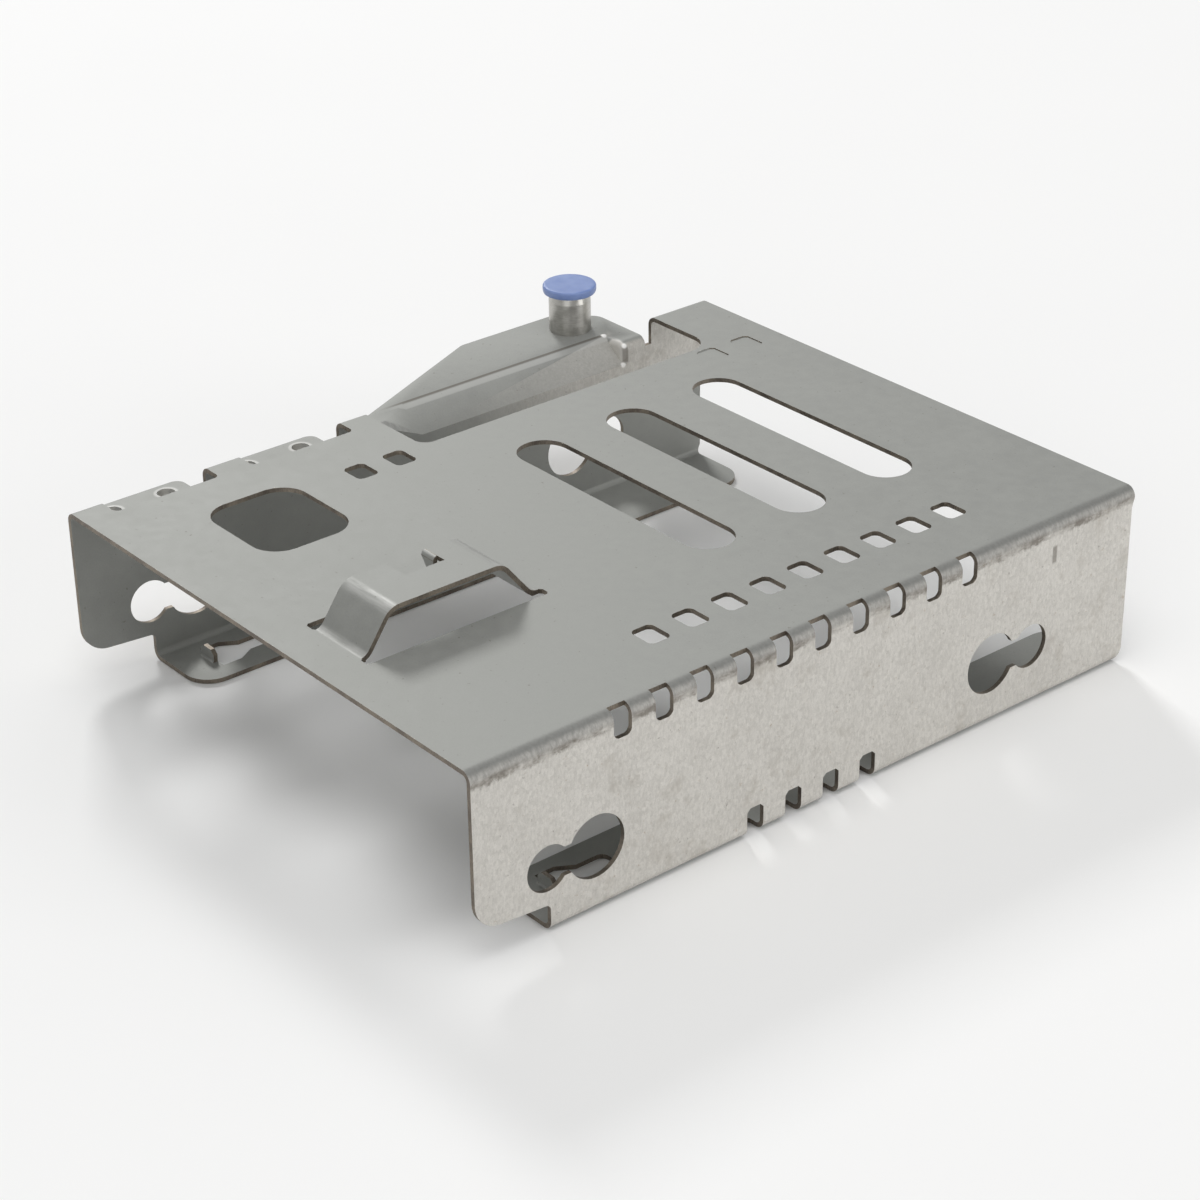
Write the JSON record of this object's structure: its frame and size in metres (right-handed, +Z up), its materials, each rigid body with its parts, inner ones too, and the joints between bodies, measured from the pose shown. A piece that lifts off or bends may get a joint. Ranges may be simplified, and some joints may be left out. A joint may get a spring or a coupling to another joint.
{
  "type": "hard drive caddy",
  "caption": "Folded zinc-coated steel caddy for a 3.5 inch hard drive, with a raised strap and a sprung locking pin with a blue knob on its side wing",
  "frame": {"origin": "centre of the bounding box in X and Y, on the plane that the flanges rest on", "axes": "+Z up from the flanges to the plate; +Y from the front edge, with the strap, to the back edge, along the drive; +X from the wing side to the plain side"},
  "size_m": [0.1284, 0.139, 0.0395],
  "materials": {
    "zinc_steel": "zinc coated, satin",
    "plated_steel": "bright nickel plated",
    "bare_steel": "turned",
    "blue_plastic": "moulded, satin",
    "spring_steel": "drawn wire"
  },
  "bodies": {
    "frame": {"bracket": "zinc_steel", "plunger_sleeve": "plated_steel", "plunger_spring": "spring_steel"},
    "plunger": {"plunger_pin": "bare_steel", "plunger_cap": "blue_plastic"}
  },
  "joints": [
    {"name": "pin_slide", "type": "slide", "parent": "frame", "child": "plunger", "axis": [0, 0, 1], "range_m": [0, 0.0034], "stiffness_N_per_m": 600, "springref_m": -0.004, "deforming": ["plunger_spring"]}
  ]
}
